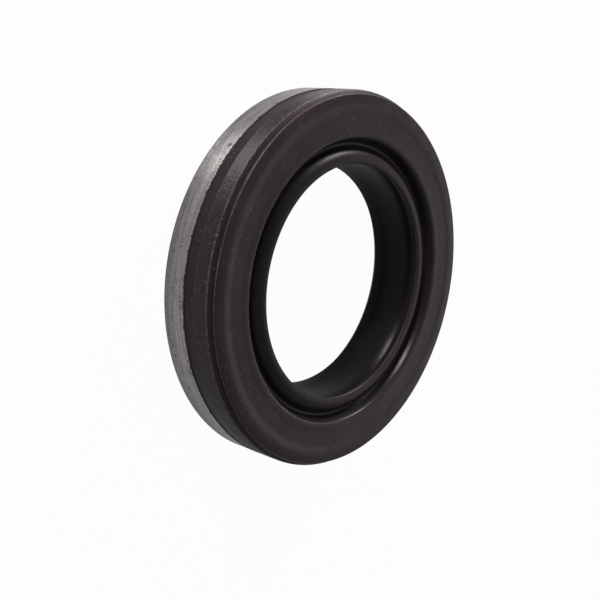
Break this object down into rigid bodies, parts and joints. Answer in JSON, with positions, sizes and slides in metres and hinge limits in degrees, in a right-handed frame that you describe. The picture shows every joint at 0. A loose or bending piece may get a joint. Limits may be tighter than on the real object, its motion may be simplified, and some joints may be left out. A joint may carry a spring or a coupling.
{
  "type": "radial shaft seal",
  "caption": "Rotary shaft oil seal: steel case half covered in ground rubber, spring-loaded main lip and a dust lip, for pressing into a housing bore.",
  "frame": {"origin": "on the seal's axis, in the plane of the steel back rim that it lies on", "axes": "+Z along the seal's axis, from the open oil side to the closed air side; X and Y in the plane of the rim, alike by symmetry"},
  "size_m": [0.04, 0.04, 0.007],
  "materials": {
    "steel": "turned, bare",
    "rubber": "moulded, part ground",
    "spring": "drawn wire"
  },
  "bodies": {
    "root": {"steel_case": "steel", "rubber_body": "rubber", "garter_spring": "spring"}
  },
  "joints": []
}
